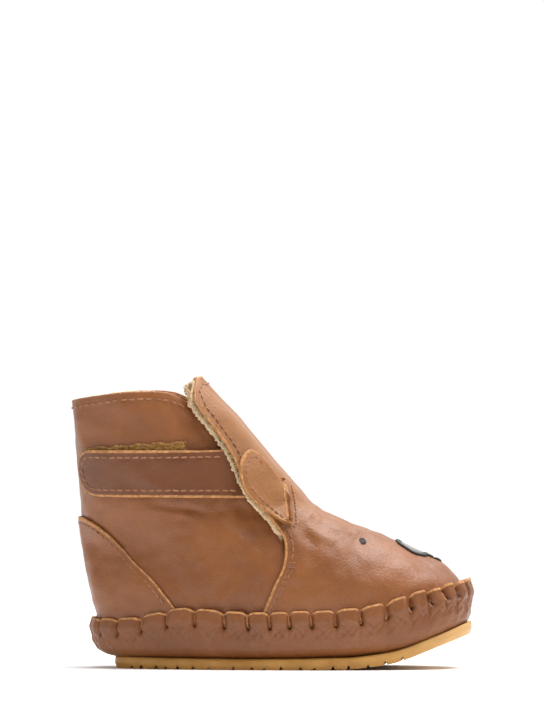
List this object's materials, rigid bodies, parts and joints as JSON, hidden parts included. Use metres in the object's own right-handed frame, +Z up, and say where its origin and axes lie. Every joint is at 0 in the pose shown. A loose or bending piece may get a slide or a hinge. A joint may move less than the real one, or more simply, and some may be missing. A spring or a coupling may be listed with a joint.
{
  "type": "baby bootie",
  "caption": "Soft moccasin ankle bootie with gum sole, animal-face toe, tilting front flap and two peel-open side straps over a fleece-lined shaft.",
  "frame": {"origin": "middle of the part's bounding box in plan, on the ground under the sole", "axes": "+X to the toe, +Z up, the wearer's outer side is -Y"},
  "size_m": [0.1448, 0.0646, 0.1054],
  "materials": {
    "tan_leather": "smooth full-grain, low sheen",
    "gum_rubber": "matt gum",
    "fleece": "curly pile",
    "board": "pressed fibre",
    "foam": "open foam",
    "hook_tape": "hooked tape",
    "loop_pile": "looped pile",
    "thread": "waxed thread",
    "black_thread": "satin stitch",
    "grey_felt": "embroidered felt"
  },
  "bodies": {
    "foot": {"collar_thread": "thread", "counter_thread": "thread", "eye_left": "black_thread", "eye_right": "black_thread", "footbed_fleece": "fleece", "footbed_foam": "foam", "gather_thread": "thread", "heel_counter": "tan_leather", "heel_stiffener": "board", "insole_board": "board", "loop_patch_left": "loop_pile", "loop_patch_right": "loop_pile", "moccasin_tray": "tan_leather", "mouth_stitch": "black_thread", "nose_border": "black_thread", "nose_patch": "grey_felt", "outsole": "gum_rubber", "quarter": "tan_leather", "quarter_lining": "fleece", "vamp": "tan_leather", "vamp_lining": "fleece", "vamp_seam_thread_left": "thread", "vamp_seam_thread_right": "thread"},
    "flap": {"ear_left_inner": "tan_leather", "ear_left_outer": "tan_leather", "ear_right_inner": "tan_leather", "ear_right_outer": "tan_leather", "ear_thread_left": "thread", "ear_thread_right": "thread", "flap_edge_thread": "thread", "flap_lining": "fleece", "front_flap": "tan_leather", "strap_anchor_left": "tan_leather", "strap_anchor_right": "tan_leather"},
    "strap_outer": {"strap_right": "tan_leather", "strap_tape_right": "hook_tape", "strap_thread_right": "thread"},
    "strap_inner": {"strap_left": "tan_leather", "strap_tape_left": "hook_tape", "strap_thread_left": "thread"}
  },
  "joints": [
    {"name": "strap_outer_peel", "type": "hinge", "parent": "flap", "child": "strap_outer", "pos_m": [-0.01267, -0.02329, 0.07064], "axis": [-0.4334, 0.0989, 0.8957], "range_deg": [0, 100]},
    {"name": "strap_inner_peel", "type": "hinge", "parent": "flap", "child": "strap_inner", "pos_m": [-0.01267, 0.02329, 0.07064], "axis": [0.4334, 0.0989, -0.8957], "range_deg": [0, 100]},
    {"name": "flap_tilt", "type": "hinge", "parent": "foot", "child": "flap", "pos_m": [0.01616, 0, 0.0608], "axis": [0, 1, 0], "range_deg": [0, 15]}
  ],
  "couplings": [
    {"joint": "strap_inner_peel", "follows": "strap_outer_peel", "ratio": 1},
    {"joint": "flap_tilt", "follows": "strap_outer_peel", "ratio": 0.15}
  ]
}
